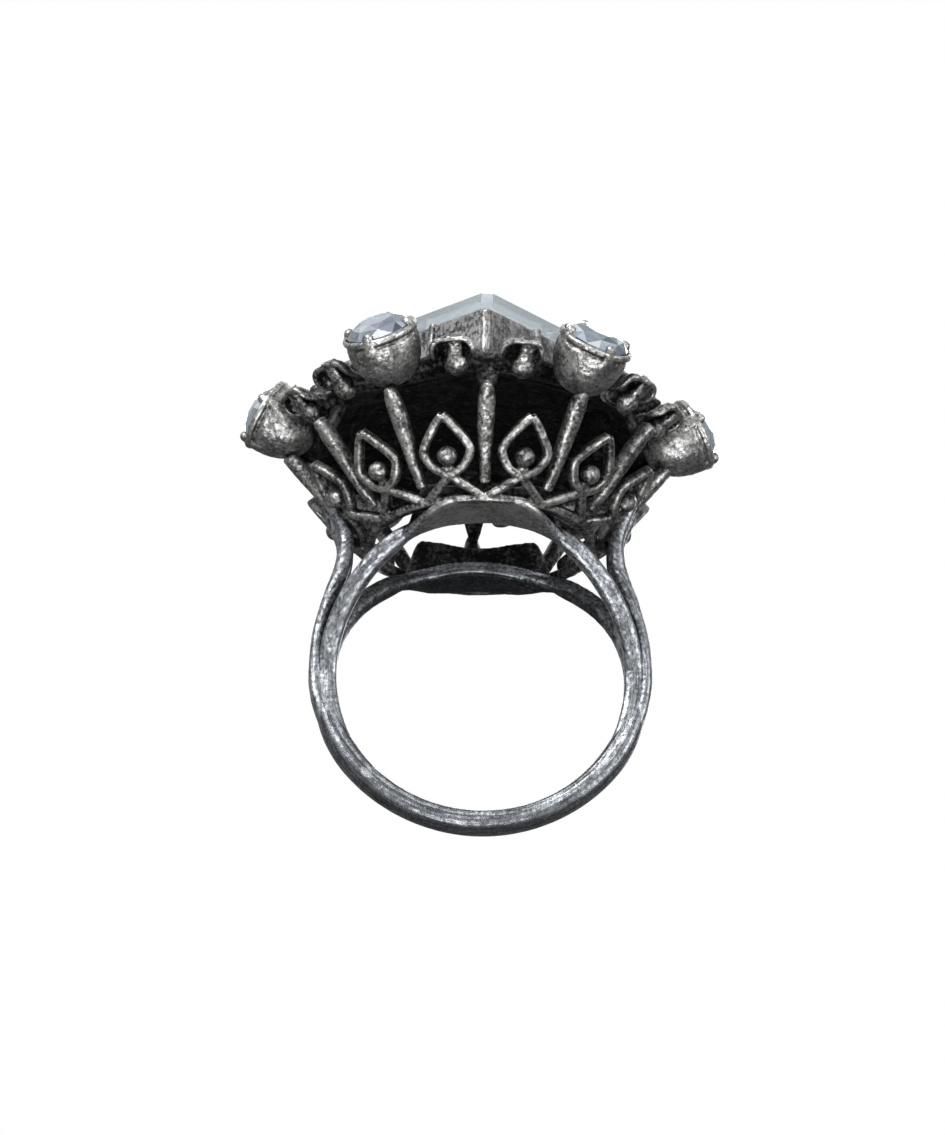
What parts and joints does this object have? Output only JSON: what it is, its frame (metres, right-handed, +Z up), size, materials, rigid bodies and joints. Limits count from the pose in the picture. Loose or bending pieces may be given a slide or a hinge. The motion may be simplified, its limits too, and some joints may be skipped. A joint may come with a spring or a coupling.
{
  "type": "cocktail ring",
  "caption": "Cocktail ring: split band, flared openwork gallery, petals, tilted round stones and a raised square centre stone.",
  "frame": {"origin": "the lowest point of the band, under the middle of the head, on the small worn flat", "axes": "+Z up from the band to the centre stone, Y along the finger with -Y the front, +X to the right seen from the front"},
  "size_m": [0.0291, 0.0262, 0.0337],
  "materials": {
    "band_metal": "antiqued silver-tone metal, smooth with fine lines along the band",
    "cast_metal": "antiqued silver-tone casting, fine grain, dark in the hollows and bright on worn edges",
    "dark_metal": "near-black patina on grainy cast metal",
    "clear_glass": "clear faceted glass, faint pale blue"
  },
  "bodies": {
    "root": {"shank_hoop": "band_metal", "front_saddle": "band_metal", "back_saddle": "band_metal", "shoulder_left_front": "band_metal", "shoulder_left_back": "band_metal", "shoulder_right_front": "band_metal", "shoulder_right_back": "band_metal", "gallery_basket": "cast_metal", "fin_00": "cast_metal", "fin_01": "cast_metal", "fin_02": "cast_metal", "fin_03": "cast_metal", "fin_04": "cast_metal", "fin_05": "cast_metal", "fin_06": "cast_metal", "fin_07": "cast_metal", "fin_08": "cast_metal", "fin_09": "cast_metal", "fin_10": "cast_metal", "fin_11": "cast_metal", "head_plate": "dark_metal", "petal_00": "cast_metal", "petal_01": "cast_metal", "petal_02": "cast_metal", "petal_03": "cast_metal", "petal_04": "cast_metal", "petal_05": "cast_metal", "petal_06": "cast_metal", "petal_07": "cast_metal", "petal_08": "cast_metal", "petal_09": "cast_metal", "petal_10": "cast_metal", "petal_11": "cast_metal", "cup_0": "cast_metal", "round_stone_0": "clear_glass", "cup_1": "cast_metal", "round_stone_1": "clear_glass", "cup_2": "cast_metal", "round_stone_2": "clear_glass", "cup_3": "cast_metal", "round_stone_3": "clear_glass", "cup_4": "cast_metal", "round_stone_4": "clear_glass", "cup_5": "cast_metal", "round_stone_5": "clear_glass", "centre_setting": "dark_metal", "centre_stone": "clear_glass"}
  },
  "joints": []
}
